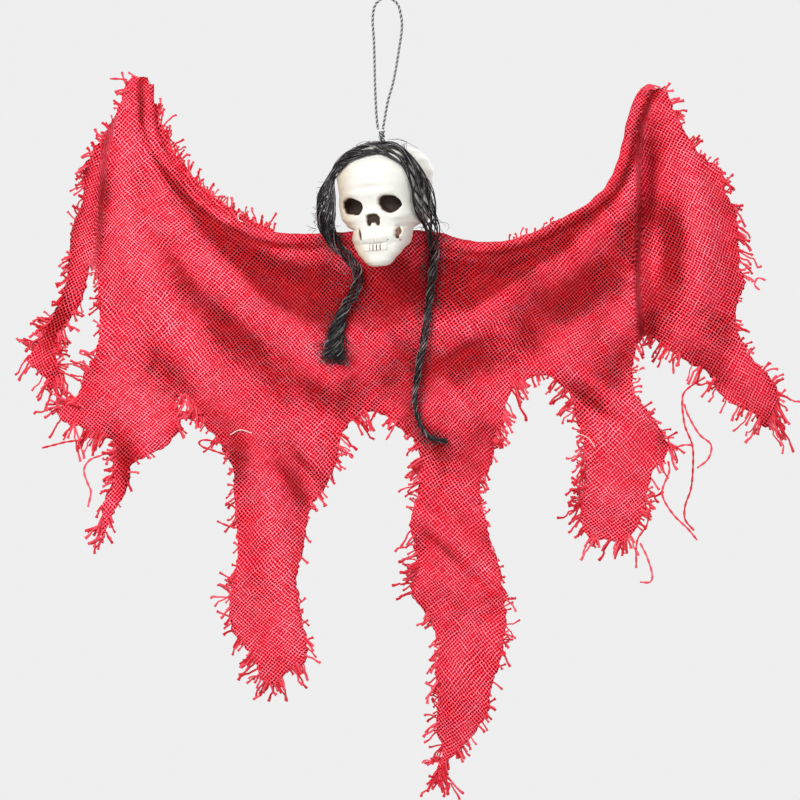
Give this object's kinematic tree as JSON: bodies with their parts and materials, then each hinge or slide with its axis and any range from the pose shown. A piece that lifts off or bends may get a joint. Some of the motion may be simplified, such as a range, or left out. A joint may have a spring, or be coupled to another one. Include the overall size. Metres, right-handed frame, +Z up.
{
  "type": "hanging skull ghost decoration",
  "caption": "Hanging ghost decoration: torn gauze robe rolled over a bent wire, a plastic skull with fibre hair seated at its middle, and a twisted cord loop to hang it by.",
  "frame": {"origin": "top inside of the hanging cord's loop, where a hook touches it", "axes": "+Z up along the hanging cord, +X to the viewer's right along the arms, and the face looks along -Y"},
  "size_m": [0.381, 0.0543, 0.394],
  "materials": {
    "gauze": "loose open weave, matte",
    "steel_wire": "drawn wire",
    "ivory_plastic": "satin moulded",
    "charcoal_fibre": "loose fibre hank",
    "twisted_cord": "two-ply twist, dark with a pale ply",
    "hot_melt": "translucent set glue"
  },
  "bodies": {
    "root": {"robe": "gauze", "arm_wire": "steel_wire", "skull": "ivory_plastic", "hair": "charcoal_fibre", "hanging_cord": "twisted_cord", "cord_knot": "twisted_cord", "neck_glue": "hot_melt", "left_tip_glue": "hot_melt", "right_tip_glue": "hot_melt"}
  },
  "joints": []
}
